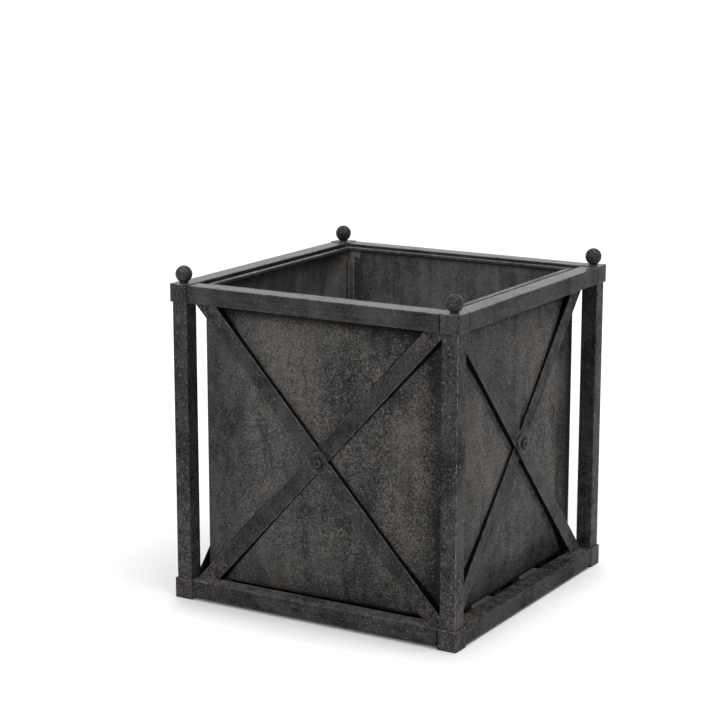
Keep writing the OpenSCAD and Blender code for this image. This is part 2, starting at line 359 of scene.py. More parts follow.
def corner_edge(low, high, half):
    """Distance to the nearest outer edge of a square upright piece on a corner."""

    def distance(net):
        out_x = half + CORNER - abs(net.x)
        out_y = half + CORNER - abs(net.y)
        out_z = (high - low) / 2 - abs(net.z - (high + low) / 2)
        return second_smallest(out_x, out_y, out_z)

    return distance


def rail_edge(high, across):
    """Distance to the upper edges of a rail that lies across x or across y."""

    def distance(net):
        out = net.x if across == "x" else net.y
        out_side = (RAIL_OUT - RAIL_IN) / 2 - abs(abs(out) - (RAIL_OUT + RAIL_IN) / 2)
        return out_side.larger(high - net.z)

    return distance


def rail_end(net):
    """1 in the seam at the end of a front or back rail."""
    return 1.0 - net.step(BLOCK_IN - abs(net.x), 0.4 * MM, 1.1 * MM)


def lower_top(across, plain):
    """Dust on the upper face of a lower rail: plain all along, and more at the bars' ends."""

    def share(net):
        along = net.x if across == "y" else net.y
        weld = net.step(abs(along) + 0.05 * net.mottle(30.0), 0.14, 0.20)
        upper_face = net.step(net.z, FOOT_HIGH - 0.5 * MM, FOOT_HIGH - 0.1 * MM)
        return upper_face * (plain + 0.6 * weld)

    return share


def post_inside_shade(net):
    """Painted shade, a fifth strong, on the two faces of a post that look towards the liner."""
    from_inner_face = abs(net.x).smaller(abs(net.y)) - POST_IN
    return 0.2 * (1.0 - net.step(from_inner_face, 0.3 * MM, 1.0 * MM))


SPLASH_FULL = 0.03
SPLASH_END = 0.26


def splashed(net):
    """Dust that rain splashes up from the ground: most at the foot, and none above SPLASH_END."""
    return 0.4 * (1.0 - net.step(net.z, SPLASH_FULL, SPLASH_END))


print("rain splashes dust up to", SPLASH_END, "m")

# %% [markdown]
# ## Iron for the corners
#
# A post, its foot and its cap are separate pieces, and each has edges of its own. So they get a
# finish each, with the noise shifted so that no cloud runs on from one piece into the next.

# %% The corners' finishes
POST_HALF = (POST_OUT - POST_IN) / 2
BLOCK_HALF = (BLOCK_OUT - BLOCK_IN) / 2
post_edge = corner_edge(FOOT_LOW, CAP_HIGH, POST_HALF)
foot_edge = corner_edge(FOOT_LOW, FOOT_HIGH, BLOCK_HALF)
cap_edge = corner_edge(CAP_LOW, CAP_HIGH, BLOCK_HALF)
post_finish = iron("post_iron", post_edge, post_inside_shade, splashed, tone=1.05, wear=1.2)
foot_finish = iron("foot_iron", foot_edge, dust=splashed, shift=(3.0, 0.0, 0.0))
cap_options = {"shift": (5.0, 0.0, 0.0), "tone": 1.15, "wear": 0.8, "calm": 0.8}
cap_finish = iron("cap_iron", cap_edge, top=CAP_HIGH, **cap_options)
print("finishes for posts, feet and caps, with blocks of", round(2 * BLOCK_HALF / MM, 1), "mm")

# %% [markdown]
# ## Where each finish goes
#
# A solid keeps its mesh and only its material slots are filled. A rail needs to know which way
# it runs, because its edges are found from the distance to its own faces, so the two pairs get a
# finish each. The front and back pair is toned lighter as painted light, and the right and left
# pair darker as painted shade.

# %% Dress the posts, blocks, rails and slats


def dress(node, material):
    """Fills every material slot of a solid, or gives it one."""
    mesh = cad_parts[node].data
    if not mesh.materials:
        mesh.materials.append(material)
    for number in range(len(mesh.materials)):
        mesh.materials[number] = material


SIDES = ["front", "right", "back", "left"]
CORNERS = ["front_left", "front_right", "back_right", "back_left"]

for corner in CORNERS:
    dress("post_" + corner, post_finish)
    dress("foot_" + corner, foot_finish)
    dress("cap_" + corner, cap_finish)

UPPER_HIGH = span("upper_rail_front", 2)[1]
# The front and back rails lie across y, and the right and left ones across x
RAIL_PAIRS = {"y": ("front", "back"), "x": ("right", "left")}
# The tones paint light and shade: the front and back rails get a lighter copy of the iron, and the right
# and left rails a darker one
RAIL_LOOKS = {
    ("lower", "y"): {"tone": 1.15, "wear": 0.5, "calm": 0.9, "top": FOOT_HIGH, "dust": lower_top("y", 0.9)},
    ("lower", "x"): {"tone": 0.7, "wear": 0.1, "calm": 0.9, "dust": lower_top("x", 0.5)},
    ("upper", "y"): {"tone": 1.2, "wear": 0.5, "calm": 0.5, "top": UPPER_HIGH},
    ("upper", "x"): {"tone": 0.9, "wear": 0.5, "calm": 0.5, "top": UPPER_HIGH},
}
for (level, across), looks in RAIL_LOOKS.items():
    edge = rail_edge(FOOT_HIGH if level == "lower" else UPPER_HIGH, across)
    black_shade_and_seams = rail_end if across == "y" else None
    brush = (0.06, 1.0, 1.0) if across == "y" else (1.0, 0.06, 1.0)
    name = level + "_rail_iron_" + across
    finish = iron(name, edge, black_shade_and_seams, shift=(0.0, 7.0, 0.0), brush=brush, **looks)
    for side in RAIL_PAIRS[across]:
        dress(level + "_rail_" + side, finish)

# The slats are toned down to 0.3, as painted shade under the liner
slat_shaded_finish = iron("slat_iron_shaded", tone=0.3, shift=(2.0, 2.0, 0.0), calm=0.5)
for slat in ("slat_front", "slat_middle", "slat_back"):
    dress(slat, slat_shaded_finish)
DRESSED_KINDS = ("post", "foot", "cap", "lower", "upper", "slat")
print("dressed", sum(node.startswith(DRESSED_KINDS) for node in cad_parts), "solids")

# %% [markdown]
# ## Skins from rings
#
# Forged and welded pieces are never as true as a drawing. The solids hold their true size, and
# the pieces below stand for them with the small unevenness of hand work. Each is a stack of
# rings, worked out as one array: a point's place is a function of how far along the piece it
# is and how far round. Quads join neighbouring rings, a fan closes each end, and the signed
# volume tells whether the faces point outwards.

# %% A skin through rings
SHARP_ANGLE = math.radians(40)


def skin(name, rings, finish, body, nodes, traits=None):
    """Closed surfaces through rings shaped (pieces, rings, points, 3), in metres, as one object.

    A quad joins two neighbouring points to the same two of the next ring, and the middle of
    each end ring closes that end. traits are numbers shaped as the rings without the last axis.
    """
    pieces, count, around = rings.shape[:3]
    size = count * around + 2

    def with_ends(values):
        flat = values.reshape(pieces, count * around, -1)
        first = values[:, 0].mean(axis=1).reshape(pieces, 1, -1)
        last = values[:, -1].mean(axis=1).reshape(pieces, 1, -1)
        return np.concatenate([flat, first, last], axis=1)

    points = with_ends(rings)
    ring = np.arange(count - 1)[:, None] * around
    here = np.arange(around)[None, :]
    there = (here + 1) % around
    above = ring + around
    quads = np.stack([ring + here, ring + there, above + there, above + here], axis=-1)
    quads = quads.reshape(-1, 4)
    end = (count - 1) * around
    first_fan = np.stack([np.full(around, size - 2), there[0], here[0]], axis=-1)
    last_fan = np.stack([np.full(around, size - 1), end + here[0], end + there[0]], axis=-1)
    halves = np.concatenate([quads[:, [0, 1, 2]], quads[:, [0, 2, 3]], first_fan, last_fan])
    corners = points[0][halves] - points[0].mean(axis=0)
    volume = np.einsum("ij,ij->i", corners[:, 0], np.cross(corners[:, 1], corners[:, 2])).sum() / 6
    if volume < 0:
        quads, first_fan, last_fan = quads[:, ::-1], first_fan[:, ::-1], last_fan[:, ::-1]
    shift = (np.arange(pieces) * size)[:, None, None]
    faces = (quads + shift).reshape(-1, 4).tolist()
    faces += (np.concatenate([first_fan, last_fan]) + shift).reshape(-1, 3).tolist()
    mesh = bpy.data.meshes.new(name)
    mesh.from_pydata(points.reshape(-1, 3).tolist(), [], faces)
    for trait, values in (traits or {}).items():
        field = mesh.attributes.new(trait, "FLOAT", "POINT")
        field.data.foreach_set("value", with_ends(values[..., None]).astype(np.float32).ravel())
    mesh.materials.append(finish)
    mesh.shade_smooth()
    mesh.set_sharp_from_angle(angle=SHARP_ANGLE)
    piece = bpy.data.objects.new(name, mesh)
    bpy.context.scene.collection.objects.link(piece)
    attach(piece, body)
    if nodes:
        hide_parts(*nodes)
    print(name, pieces, "x", count * around, "points,", round(abs(volume) * 1e6, 2), "cm3 each")
    return piece


print("a skin is smooth, except over", round(math.degrees(SHARP_ANGLE)), "degrees")

# %% [markdown]
# ## Unevenness, and the four sides
#
# Hand work is uneven in a smooth way: the eye follows a slow wave along a bar, not a jitter from
# point to point. A sum of a few sines gives that, and a fixed seed gives the same waves on every
# run. The four sides are alike, so one function stands a piece on any of them.

# %% Unevenness and a place on a side
# Nearly a whole turn: the range from which each wave's start is drawn
WHOLE_TURN = 6.28


def uneven(along, around, seed, waves=8):
    """Smooth unevenness from about -1 to 1: a sum of products of two sines.

    around is an angle, so its sines get whole numbers of waves and the seam closes.
    """
    draw = np.random.default_rng(seed)
    total = np.zeros(np.broadcast(along, around).shape)
    for _ in range(waves):
        steep = draw.uniform(0.6, 2.6)
        start = draw.uniform(0, WHOLE_TURN)
        turn = draw.uniform(0, WHOLE_TURN)
        total = total + np.sin(steep * along + start) * np.sin(draw.integers(1, 6) * around + turn)
    return total / math.sqrt(waves)


def stand(side, along, out, up):
    """Places points on a side: along it to the right, outwards from the middle, and up."""
    flat = {
        "front": (along, -out),
        "right": (out, along),
        "back": (-along, out),
        "left": (-out, -along),
    }
    return np.stack(np.broadcast_arrays(*flat[side], up), axis=-1)


print("unevenness and places on a side are ready")

# %% [markdown]
# ## The balls on the corners
#
# Each ball is forged and held in its cap by a stud. A plain sphere looks like a bead, so the
# radius sinks by up to a fifth of a millimetre here and there, as the hammer left it, and a
# thin collar of weld spreads where the ball meets the cap.

# %% Forge the balls
BALL_LOW, BALL_HIGH = span("finial_front_left", 2)
BALL_R = (span("finial_front_left", 0)[1] - span("finial_front_left", 0)[0]) / 2
BALL_Z = BALL_HIGH - BALL_R
NECK_R = 5.6 * MM
BALL_RINGS = 40
BALL_POINTS = 64
# The dents' share of the radius
BALL_DENT = 0.016

polar = np.linspace(math.pi - math.asin(NECK_R / BALL_R), 0.04, BALL_RINGS)
cap_top = CAP_HIGH / MM
# The stud and the collar of weld round it: radius and height in mm, and the share that may sink
stem = np.array([
    (3.8, BALL_LOW / MM, 0.0),
    (3.8, cap_top + 0.02, 0.0),
    (7.2, cap_top + 0.02, 0.08),
    (6.9, cap_top + 0.5, 0.06),
    (5.9, cap_top + 1.1, 0.03),
])
stem_sink = stem[:, 2]
stem = stem * MM
sink = np.concatenate([stem_sink, BALL_DENT * np.sin(polar) ** 0.5])[:, None]
profile_r = np.concatenate([stem[:, 0], BALL_R * np.sin(polar)])
profile_z = np.concatenate([stem[:, 1], BALL_Z + BALL_R * np.cos(polar)])
turns = np.linspace(0, 2 * math.pi, BALL_POINTS, endpoint=False)[None, :]
balls = []
for number, corner in enumerate(CORNERS):
    along = np.concatenate([np.linspace(0, 1, len(stem)), 1 + polar * 2.2])[:, None]
    dent = 0.5 + 0.5 * np.clip(uneven(along * 1.3, turns, 40 + number), -1, 1)
    radius = profile_r[:, None] * (1 - sink * dent)
    middle_x = CORNER * (1 if "right" in corner else -1)
    middle_y = CORNER * (1 if "back" in corner else -1)
    height = np.broadcast_to(profile_z[:, None], radius.shape)
    x = middle_x + radius * np.cos(turns)
    y = middle_y + radius * np.sin(turns)
    balls.append(np.stack([x, y, height], axis=-1))
ball_finish = iron("ball_iron", shift=(0.0, 13.0, 0.0), tone=1.1)
for corner, rings in zip(CORNERS, balls):
    skin("ball_" + corner, rings[None], ball_finish, "frame", ["finial_" + corner])

# %% [markdown]
# ## The crossed bars
#
# A flat bar comes from the mill with slightly round edges, and years of cloth and hands rub
# those edges bright. A CAD bar has neither. Here a rectangle with round corners is carried from
# rail to rail. Both ends are cut level along the rails, so the length depends on where across
# the bar a point lies. Two numbers per point tell the finish which parts are rubbed bright and
# where black is painted as shade, on the bar's sides and back.

# %% A bar's section and its lean
OVER_BACK, OVER_FACE = span("over_brace_right", 0)
UNDER_BACK = span("under_brace_right", 0)[0]
OPEN_H = CAP_LOW - FOOT_HIGH
OPEN_W = 2 * POST_IN
# Half of the bars' width, which can't be read off the box of a leaning bar
BAR_HALF = 12.5 * MM
# At this lean the long edges of a bar run exactly into opposite corners of the opening
LEAN = math.atan2(OPEN_H, OPEN_W) + math.asin(2 * BAR_HALF / math.hypot(OPEN_H, OPEN_W))
BAR_ROUND = 0.9 * MM


def bar_profile(width, depth, soft, flat=9, bend=5):
    """A rectangle with round corners, as rows (across, outwards from its back, rubbed, hidden).

    The front face is outwards. rubbed peaks at 1 on the front's round edges. The last column is
    painted shade: 1 on the back and 0.3 along the sides. soft is the radius of the corners, and
    flat and bend count the points on a face and round a corner.
    """
    rows = []
    arcs = [(1, 1, 0.0), (-1, 1, 90.0), (-1, -1, 180.0), (1, -1, 270.0)]
    for number, (across, out, start) in enumerate(arcs):
        for angle in np.radians(start + np.linspace(0, 90, bend)):
            x = across * (width / 2 - soft) + soft * math.cos(angle)
            y = depth / 2 + out * (depth / 2 - soft) + soft * math.sin(angle)
            if out > 0:
                rubbed = math.sin(2 * angle) ** 2
                shade_and_seams = 0.3 if math.sin(angle) <= 0.5 else 0.0
            else:
                rubbed, shade_and_seams = 0.0, 1.0
            rows.append((x, y, rubbed, shade_and_seams))
        if number == 0:
            for x in np.linspace(width / 2 - soft, -(width / 2 - soft), flat + 2)[1:-1]:
                near = max(0.0, 1 - (width / 2 - soft - abs(x)) / (2.2 * MM))
                rows.append((x, depth, 0.6 * near, 0.0))
        if number == 2:
            for x in np.linspace(-(width / 2 - soft), width / 2 - soft, flat + 2)[1:-1]:
                rows.append((x, 0.0, 0.0, 1.0))
    return np.array(rows)


print("the bars lean by", round(math.degrees(LEAN), 1), "degrees")

# %% [markdown]
# ## Rolling the bars
#
# On each side the under bar rises to the right and the over bar falls, so one is the other
# mirrored. The edges wander by a fifth of a millimetre and the face has shallow dents, because
# light along a perfectly straight edge is what makes a render look drawn.

# %% Roll the bars
BAR_RINGS = 121
# The share of half a bar's width by which its edges wander
EDGE_WANDER = 0.016
BAR_DENT = 0.22 * MM
BAR_DENT_MOST = 0.3 * MM


def weld_ends(net):
    """Brown scale from welding at both ends of a bar."""
    return 0.8 * net.step(abs(net.z - MIDDLE_Z) + 0.04 * net.mottle(40.0), 0.185, 0.225)


profile = bar_profile(2 * BAR_HALF, OVER_FACE - OVER_BACK, BAR_ROUND)
across, deep, rubbed, shade_and_seams = (profile[:, column][None, :] for column in range(4))
reach = np.linspace(-1, 1, BAR_RINGS)[:, None]
bar_finish = iron("bar_iron", dust=weld_ends, shift=(0.0, 0.0, 9.0), tone=1.0, traits=True, calm=0.8)
for number, side in enumerate(SIDES):
    for level, back, rise in (("under", UNDER_BACK, 1), ("over", OVER_BACK, -1)):
        seed = 100 + 10 * number + (rise > 0)
        wander = EDGE_WANDER * (0.5 + 0.5 * uneven(reach * 30, 0.0 * across + 1.0, seed))
        wavy = across * (1 - wander * (abs(across) > BAR_HALF / 2))
        # Level ends: up = across * cos(lean) + length * sin(lean) stays within the opening
        stretch = (reach * (OPEN_H / 2 - 0.02 * MM) - across * math.cos(LEAN)) / math.sin(LEAN)
        along = stretch * math.cos(LEAN) - wavy * math.sin(LEAN)
        up = stretch * math.sin(LEAN) + wavy * math.cos(LEAN)
        dent = BAR_DENT * (0.5 + 0.5 * uneven(reach * 14, across / BAR_HALF * 1.5, seed + 5))
        # Only the outer face is dented: the top half millimetre of a bar's thickness
        dent = dent * (deep > 3.5 * MM)
        out = back + deep - np.clip(dent, 0, BAR_DENT_MOST)
        rings = stand(side, rise * along, out, MIDDLE_Z + up)
        ones = np.ones_like(reach)
        traits = {"rubbed": (ones * rubbed)[None], "shade_and_seams": (ones * shade_and_seams)[None]}
        solid = [level + "_brace_" + side]
        skin(level + "_bar_" + side, rings[None], bar_finish, "frame", solid, traits)

# %% [markdown]
# ## Discs and rivets
#
# A round plate covers each crossing and a rivet goes through it. The rivet's head was closed
# with a hollow punch, which leaves a raised ring with a sunk middle. All of them are round, so
# a profile says everything about their shape, and a few rings are enough for one.

# %% Profiles of the disc and the rivet
# Each row of a profile is a ring: its radius and its height above the bar, both in mm, and then
# how rubbed it is and how much black is painted on it as shade in its hollows, from 0 to 1
DISC = np.array([
    (0.4, 0.01, 0.0, 0.0),
    (16.2, 0.01, 0.0, 0.0),
    (16.8, 0.3, 0.2, 0.0),
    (17.0, 0.9, 0.6, 0.0),
    (16.9, 1.5, 1.0, 0.0),
    (16.4, 2.1, 1.0, 0.0),
    (15.4, 2.45, 0.6, 0.0),
    (12.0, 2.5, 0.1, 0.0),
    (9.5, 2.4, 0.1, 0.0),
    (8.4, 2.0, 0.0, 0.3),
    (7.7, 1.7, 0.0, 0.4),
    (7.0, 1.8, 0.0, 0.4),
    (0.4, 1.9, 0.0, 0.0),
])
HEAD = np.array([
    (0.3, 1.95, 0.0, 0.0),
    (6.6, 1.95, 0.0, 0.4),
    (7.0, 2.3, 0.1, 0.3),
    (6.95, 3.0, 0.2, 0.1),
    (6.4, 4.1, 0.3, 0.0),
    (5.4, 5.0, 0.4, 0.0),
    (4.4, 5.4, 0.5, 0.0),
    (3.5, 5.2, 0.3, 0.0),
    (2.8, 4.6, 0.0, 0.6),
    (2.2, 4.2, 0.0, 0.8),
    (1.2, 4.1, 0.0, 0.4),
    (0.3, 4.1, 0.0, 0.1),
])
TAIL = np.array([
    (0.3, 0.06, 0.0, 0.0),
    (3.0, 0.03, 0.0, 0.0),
    (5.6, 0.06, 0.0, 0.0),
    (5.9, 0.1, 0.0, 0.0),
    (4.0, 2.0, 0.0, 0.0),
    (0.3, 2.0, 0.0, 0.0),
])
print("disc", 2 * DISC[:, 0].max(), "mm across, rivet head", 2 * HEAD[:, 0].max(), "mm across")

# %% [markdown]
# ## Turning the discs and rivets
#
# A profile is turned about its rivet. The rims were filed by eye, so their radius comes and goes
# a little, and each rivet sits a few millimetres off the middle of its crossing, as one does
# that was set by hand.

# %% Turn the discs and rivets
ROUND_POINTS = 72
# How far each rivet sits off the middle of its crossing: along the side, and up
OFF_MIDDLE = {
    "front": (3.0 * MM, -4.2 * MM),
    "right": (1.0 * MM, 4.0 * MM),
    "back": (2.0 * MM, 1.0 * MM),
    "left": (0.0, -2.0 * MM),
}


def turned(side, profile, bar, seed, rim):
    """A profile turned about the rivet of a side, from a bar's face outwards.

    The rim share of each radius comes and goes round the piece, as if it was filed by eye.
    """
    around = np.linspace(0, 2 * math.pi, ROUND_POINTS, endpoint=False)[None, :]
    filed = 0.5 + 0.5 * np.clip(uneven(1.0 + 0.0 * around, around, seed, 5), -1, 1)
    radius = profile[:, 0][:, None] * MM * (1 - rim * filed)
    along, up = OFF_MIDDLE[side]
    out = np.broadcast_to(profile[:, 1][:, None] * MM + bar, radius.shape)
    height = MIDDLE_Z + up + radius * np.sin(around)
    return stand(side, along + radius * np.cos(around), out, height)


def worn(profile, pieces=1):
    """The rubbed column and the painted shade column of a profile, spread over this many turned pieces."""
    shape = (pieces, len(profile), ROUND_POINTS)
    columns = {"rubbed": profile[:, 2], "shade_and_seams": profile[:, 3]}
    return {trait: np.broadcast_to(values[None, :, None], shape) for trait, values in columns.items()}


disc_finish = iron("disc_iron", tone=0.95, shift=(11.0, 0.0, 0.0), wear=0.4, traits=True)
for number, side in enumerate(SIDES):
    rings = turned(side, DISC, OVER_FACE, 60 + number, 0.03)[None]
    solid = ["rosette_" + side]
    skin("disc_" + side, rings, disc_finish, "frame", solid, worn(DISC))
numbered = list(enumerate(SIDES))
heads = np.stack([turned(side, HEAD, OVER_FACE, 70 + number, 0.05) for number, side in numbered])
tails = np.stack([turned(side, TAIL, UNDER_BACK, 80 + number, 0.03) for number, side in numbered])
for name, rings, profile in (("rivet_heads", heads, HEAD), ("rivet_tails", tails, TAIL)):
    skin(name, rings, disc_finish, "frame", ["brace_rivets"], worn(profile, len(SIDES)))

# %% [markdown]
# ## Weld beads
#
# Each bar is welded to the rails across both of its ends. A hand-laid bead is a row of small
# ripples, so a half-round is carried along the joint and its radius rises and falls about every
# two and a half millimetres, and tapers where the welder started and stopped.

# %% Lay the beads
BEAD_RINGS = 90
BEAD_POINTS = 14
RIPPLES = 14
WELD_SINK = 0.3 * MM


def rail_meets(end, edge):
    """Where a long edge of a bar (edge -1 or 1) meets the lower or upper rail (end -1 or 1)."""
    height = end * OPEN_H / 2 + edge * BAR_HALF * math.cos(LEAN)
    return height / math.sin(LEAN) * math.cos(LEAN) + edge * BAR_HALF * math.sin(LEAN)


bead_along = np.linspace(0, 1, BEAD_RINGS)[:, None]
bead_round = np.linspace(0, 2 * math.pi, BEAD_POINTS, endpoint=False)[None, :]
beads = []
for number, side in enumerate(SIDES):
    for rise, face in ((1, OVER_BACK), (-1, OVER_FACE)):
        for end in (1, -1):
            seed = 200 + 20 * number + 5 * rise + end
            left = rail_meets(end, -1)
            right = rail_meets(end, 1)
            run = left + (right - left) * (0.02 + 0.96 * bead_along)
            # The first and the last ripple are the tapered ones
            taper = np.clip(np.minimum(bead_along, 1 - bead_along) * RIPPLES, 0.15, 1) ** 0.5
            hand = 0.22 * uneven(bead_along * 9, 0 * bead_along + 1.0, seed)
            ripple = 1.55 + 0.28 * abs(np.sin(bead_along * math.pi * RIPPLES)) + hand
            radius = ripple * taper * MM
            out = face + WELD_SINK + radius * 0.95 * np.cos(bead_round)
            # Only the half that looks away from the rail is round, and the other lies flat on it
            bulge = radius * np.sin(bead_round) * (np.sin(bead_round) * end < 0)
            up = MIDDLE_Z + end * (OPEN_H / 2 - WELD_SINK) + bulge - end * 0.05 * MM
            beads.append(stand(side, rise * run, out, up))
bead_finish = iron("bead_iron", tone=1.5, shift=(1.0, 4.0, 0.0))
skin("weld_beads", np.stack(beads), bead_finish, "frame", [])

# %% [markdown]
# ## The liner's sheet
#
# The liner is thin sheet that has been blackened and has weathered: neutral dark grey with
# brown-grey clouds, paler runs where water went down, and fine specks. The runs are the same
# noise as the clouds, but squeezed in height so that each blotch becomes a streak. Black is
# painted as shade along the bars that press on a wall, and behind them.

# %% Painted shade along the bars
LINER_OUT = span("liner_rim_right", 0)[1]
LINER_LOW, LINER_HIGH = span("liner_wall_front", 2)


def shade_at_bars(net, along, blots):
    """1 in the painted shade along the bars' long edges, 0.4 where a bar covers the wall, and 0 elsewhere.

    A point's distance from the long edges of a bar is below 0 where the bar covers it.
    """
    up = net.z - MIDDLE_Z
    from_under = abs(along * math.sin(LEAN) - up * math.cos(LEAN)) - BAR_HALF
    from_over = abs(along * math.sin(LEAN) + up * math.cos(LEAN)) - BAR_HALF
    shade_creep = net.trait("shade_creep") + 3.0 * MM * (blots - 0.5)
    wide = 2.8 * MM * net.step(abs(along) + 0.04 * (blots - 0.5), 0.03, 0.15)
    beside_under = (from_under - wide).larger(0.0 - from_under - shade_creep)
    beside_over = (from_over + 0.2 * MM).larger(0.0 - from_over - shade_creep)
    bar_shade = 1.0 - net.step(beside_under.smaller(beside_over), 0.0, 0.8 * MM)
    covered = 0.4 * (1.0 - net.step(from_under.smaller(from_over), -4.0 * MM, 0.0))
    return bar_shade.larger(covered)


print("the liner is", round(2 * LINER_OUT / MM), "mm wide")

# %% [markdown]
# ## The sheet's finish
#
# All of the liner has one finish with a few options. Where the corner strips were soldered in,
# a pale smear of solder is left at the top of the joint. The inside of a wall is a plainer grey
# than its outside and painted lighter, as painted light, and each wall is painted darker towards
# its right end, as painted shade.

# %% The sheet finish
SHEET_DARK = (0.0180, 0.0186, 0.0194)
SHEET_PALE = (0.113, 0.112, 0.110)
SHEET_TAN = (0.166, 0.130, 0.102)
SHEET_SPECK = (0.24, 0.22, 0.19)
SHEET_PIT = (0.012, 0.012, 0.012)
INSIDE_LIT_DARK = (0.048, 0.046, 0.050)
INSIDE_LIT_PALE = (0.225, 0.215, 0.208)
SHADE_BLACK = (0.004, 0.004, 0.004)
SOLDER = (0.26, 0.22, 0.185)
SOLDER_LINE = (0.32, 0.30, 0.28)
SHEET_BUMP = 0.25 * MM


def from_liner_corner(net):
    """Distance along a wall from the liner's nearest corner."""
    return LINER_OUT - abs(net.x).smaller(abs(net.y))


def sheet_metal(name, tone=1.0, shift=(0.0, 0.0, 0.0), solder=False, strip=False, wall=False):
    """Mottled brown-grey sheet with runs down its height.

    solder adds a pale smear at the top of each corner, and strip the lines of solder along a
    corner strip. A wall also has a plainer grey inside, painted lighter as painted light, and
    painted shade: darker towards its right end, black along the bars' edges and under them, and
    black in bands under the upper rail and above the lower one.
    """
    net = Net(name)
    clouds = net.mottle(9.0, 4.0, 0.58, stretch=(1.0, 1.0, 0.7), shift=shift, warp=0.6)
    runs = net.mottle(55.0, 3.0, 0.55, stretch=(1.0, 1.0, 0.12), shift=shift)
    blots = net.mottle(80.0, 3.0, 0.6, shift=shift)
    grain = net.mottle(410.0, 2.0, 0.55, shift=shift)
    specks = net.mottle(300.0, 1.0, 0.5, shift=SPECK_PLACE)
    share = 0.51 + 1.25 * (clouds - 0.5) + 0.8 * (runs - 0.5)
    if wall:
        along = net.trait("along")
        inside = net.trait("inside")
        # Painted shade: the wall grows darker and less tan towards its right end, as seen from outside
        far_end_shade = net.step(along + 0.02 * (clouds - 0.5), 0.158, 0.192)
        share = share - 0.32 * far_end_shade
        share = share - 0.22 * net.step(along + 0.1 * (clouds - 0.5), -0.14, 0.16)
        share = share + inside * (0.5 * (runs - 0.5) + 1.0 * (clouds - 0.5) - 0.02)
    fine = share + 0.5 * (blots - 0.5) + 1.55 * (grain - 0.5)
    base = net.blend(net.clamp(fine), toned(SHEET_DARK, tone), toned(SHEET_PALE, tone))
    tan = net.step(grain + 0.6 * clouds + 0.3 * blots, 0.93, 1.20)
    tan = tan * (1.0 - 0.7 * far_end_shade) if wall else tan
    base = net.blend(tan * 0.6, base, toned(SHEET_TAN, tone))
    # Painted light: the inside of a wall gets a lighter grey than its outside
    if wall:
        plain = net.blend(net.clamp(fine), INSIDE_LIT_DARK, INSIDE_LIT_PALE)
        base = net.blend(inside, base, plain)
    base = net.blend(net.step(specks, 0.66, 0.74) * 0.4, base, SHEET_SPECK)
    base = net.blend((1.0 - net.step(specks, 0.28, 0.35)) * 0.5, base, SHEET_PIT)
    rough = 0.40 + 0.3 * (grain - 0.5)
    wax = net.clamp(0.60 + 1.0 * (clouds - 0.5) + 1.2 * (grain - 0.5))
    if wall:
        # Painted shade: black along the bars and under them, and in the bands under the upper rail and
        # above the lower one
        bar_shade = shade_at_bars(net, along, blots)
        painted_shade = bar_shade.larger(net.trait("rail_shade")) * (1.0 - inside)
        base = net.blend(painted_shade * 0.9, base, SHADE_BLACK)
        # Only the swollen middle was ever polished: wax on the bent borders would gleam there
        polished = net.step(net.trait("swollen"), 0.55, 0.97)
        wax = wax * (1.0 - 0.9 * painted_shade) * (0.1 + 0.9 * polished)
    if solder:
        from_top = LINER_HIGH - net.z
        from_joint_top = from_liner_corner(net) + 0.8 * from_top + 0.05 * (blots - 0.5)
        smear = 1.0 - net.step(from_joint_top, 26.0 * MM, 34.0 * MM)
        smear = smear * inside if wall else smear
        base = net.blend(smear * 0.8, base, SOLDER)
    if strip:
        leg = from_liner_corner(net)
        line = net.step(leg, 10.8 * MM, 11.6 * MM) + (1.0 - net.step(leg, 3.2 * MM, 4.4 * MM))
        line = line.smaller(1.0) * net.step(blots, 0.30, 0.55)
        base = net.blend(line * 0.7, base, SOLDER_LINE)
    height = 0.5 * grain + 0.7 * blots
    return net.finish(base, rough, wax, height, SHEET_BUMP)


wall_finish = sheet_metal("liner_sheet", shift=(5.9, 4.2, 1.3), solder=True, wall=True)
rim_finish = sheet_metal("liner_rim_sheet", tone=1.1, shift=(4.0, 0.0, 0.0))
strip_options = {"tone": 1.6, "shift": (4.0, 2.0, 0.0), "solder": True, "strip": True}
strip_finish = sheet_metal("liner_strip_sheet", **strip_options)
for side in SIDES:
    dress("liner_rim_" + side, rim_finish)
for corner in CORNERS:
    dress("liner_strip_" + corner, strip_finish)
dress("liner_floor", rim_finish)
dress("liner_pads", rim_finish)
print("dressed the liner's rims, strips, floor and pads")

# %% [markdown]
# ## The liner's walls
#
# The walls of a filled liner swell until they all but touch the bars, while the rim, the floor
# and the corner strips hold their edges straight. The solids have that swelling in flat
# facets. Here it is drawn smoothly: a section through the sheet is carried up from the floor to
# the rim, and stands out by (1 - u^8)^1.5 times (1 - v^8)^1.5, with u and v running from -1 to
# 1 between the straight edges. A few tenths of a millimetre of unevenness make the reflections
# wander as they do on thin sheet. Each wall also carries its own coordinate along the side, so
# that the finish can find where the bars press on it.

# %% Swell the walls
SWOLLEN = span("liner_wall_right", 0)[1]
SHEET = LINER_OUT - span("liner_wall_right", 0)[0]
STRIP_IN = span("liner_strip_back_right", 0)[0]
LIP_LOW = span("liner_rim_right", 2)[0]
FLOOR_TOP = span("liner_floor", 2)[1]


def swelling(place):
    """Share of the full swelling: (1 - place^8)^1.5, and 0 outside -1 to 1."""
    return np.clip(1 - np.clip(abs(place), 0, 1) ** 8, 0, 1) ** 1.5


def spread(count):
    """Places from -1 to 1 that lie closer together towards both ends."""
    return np.sin(np.linspace(-math.pi / 2, math.pi / 2, count))


